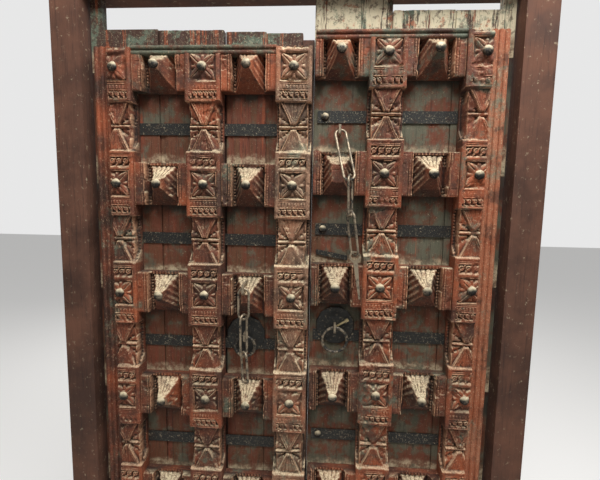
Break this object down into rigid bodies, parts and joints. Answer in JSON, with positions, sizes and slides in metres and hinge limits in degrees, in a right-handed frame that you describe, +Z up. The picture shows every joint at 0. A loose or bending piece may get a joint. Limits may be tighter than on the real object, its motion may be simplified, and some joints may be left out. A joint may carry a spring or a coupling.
{
  "type": "carved temple door",
  "caption": "Double-leaf carved timber door in a plain frame: board leaves with carved stiles, bossed rails, forged nails, ring handles and hanging chains",
  "frame": {"origin": "middle of the threshold's underside, below the middle of the meeting stile, in the plane of the planks' front face", "axes": "+X to the right as seen from the carved side, +Y away from the viewer through the doorway, +Z up"},
  "size_m": [1.464, 0.1912, 2.21],
  "materials": {
    "frame_wood": "weathered dark timber",
    "carved_wood": "weathered carving with worn red paint and dust",
    "plank_wood": "dark weathered boards with flaking paint",
    "iron": "forged iron, dark and worn",
    "nail_iron": "forged iron with rubbed bright heads",
    "brass": "rubbed yellow metal"
  },
  "bodies": {
    "frame": {"threshold": "frame_wood", "lintel": "frame_wood", "left_jamb": "frame_wood", "right_jamb": "frame_wood", "frame_pegs": "frame_wood", "pivot_sockets": "iron"},
    "left_leaf": {"left_plank_1": "plank_wood", "left_plank_2": "plank_wood", "left_plank_3": "plank_wood", "left_plank_4": "plank_wood", "left_hinge_stile": "carved_wood", "left_middle_stile": "carved_wood", "meeting_stile": "carved_wood", "left_rail_1": "carved_wood", "left_rail_2": "carved_wood", "left_rail_3": "carved_wood", "left_rail_4": "carved_wood", "left_rail_5": "carved_wood", "left_rail_6": "carved_wood", "left_top_moulding": "carved_wood", "left_edge_moulding": "carved_wood", "left_straps": "iron", "left_nails": "nail_iron", "left_ring_plate": "iron", "left_ring_staple": "iron", "left_chain_staple": "iron"},
    "right_leaf": {"right_plank_1": "plank_wood", "right_plank_2": "plank_wood", "right_plank_3": "plank_wood", "right_middle_stile": "carved_wood", "right_hinge_stile": "carved_wood", "right_rail_1": "carved_wood", "right_rail_2": "carved_wood", "right_rail_3": "carved_wood", "right_rail_4": "carved_wood", "right_rail_5": "carved_wood", "right_rail_6": "carved_wood", "right_top_moulding": "carved_wood", "right_edge_moulding": "carved_wood", "right_straps": "iron", "right_nails": "nail_iron", "right_ring_plate": "iron", "right_ring_staple": "iron", "locking_peg": "brass", "right_chain_staple": "iron", "latch_bar": "iron"},
    "left_ring": {"left_ring": "iron"},
    "right_ring": {"right_ring": "iron"},
    "left_link_1": {"left_chain_link_1": "iron"},
    "left_link_2": {"left_chain_link_2": "iron"},
    "left_link_3": {"left_chain_link_3": "iron"},
    "right_link_1": {"right_chain_link_1": "iron"},
    "right_link_2": {"right_chain_link_2": "iron"},
    "right_link_3": {"right_chain_link_3": "iron"},
    "right_hasp": {"right_hasp": "iron"}
  },
  "joints": [
    {"name": "left_leaf_hinge", "type": "hinge", "parent": "frame", "child": "left_leaf", "pos_m": [-0.618, 0.014, 0.07], "axis": [0, 0, 1], "range_deg": [0, 90]},
    {"name": "right_leaf_hinge", "type": "hinge", "parent": "frame", "child": "right_leaf", "pos_m": [0.618, 0.014, 0.07], "axis": [0, 0, -1], "range_deg": [0, 90]},
    {"name": "left_ring_swing", "type": "hinge", "parent": "left_leaf", "child": "left_ring", "pos_m": [-0.149, -0.022, 1.0595], "axis": [-1, 0, 0], "range_deg": [0, 45]},
    {"name": "right_ring_swing", "type": "hinge", "parent": "right_leaf", "child": "right_ring", "pos_m": [0.139, -0.022, 1.1], "axis": [-1, 0, 0], "range_deg": [0, 95]},
    {"name": "left_link_1_swing", "type": "hinge", "parent": "left_leaf", "child": "left_link_1", "pos_m": [-0.139, -0.092, 1.234], "axis": [-1, 0, 0], "range_deg": [0, 60]},
    {"name": "left_link_2_swing", "type": "hinge", "parent": "left_link_1", "child": "left_link_2", "pos_m": [-0.139, -0.092, 1.14], "axis": [-1, 0, 0], "range_deg": [-10, 60]},
    {"name": "left_link_3_swing", "type": "hinge", "parent": "left_link_2", "child": "left_link_3", "pos_m": [-0.1385, -0.092, 1.022], "axis": [-0.4384, -0.8988, 0], "range_deg": [-10, 60]},
    {"name": "right_link_1_swing", "type": "hinge", "parent": "right_leaf", "child": "right_link_1", "pos_m": [0.138, -0.022, 1.712], "axis": [-1, 0, 0], "range_deg": [0, 50]},
    {"name": "right_link_2_swing", "type": "hinge", "parent": "right_link_1", "child": "right_link_2", "pos_m": [0.169, -0.088, 1.562], "axis": [-0.9826, -0.0749, -0.1701], "range_deg": [0, 50]},
    {"name": "right_link_3_swing", "type": "hinge", "parent": "right_link_2", "child": "right_link_3", "pos_m": [0.172, -0.088, 1.457], "axis": [-0.3744, -0.9272, -0.0094], "range_deg": [-8, 50]},
    {"name": "right_hasp_swing", "type": "hinge", "parent": "right_link_3", "child": "right_hasp", "pos_m": [0.19, -0.086, 1.343], "axis": [-0.5934, 0.8018, -0.0709], "range_deg": [-15, 50]}
  ]
}
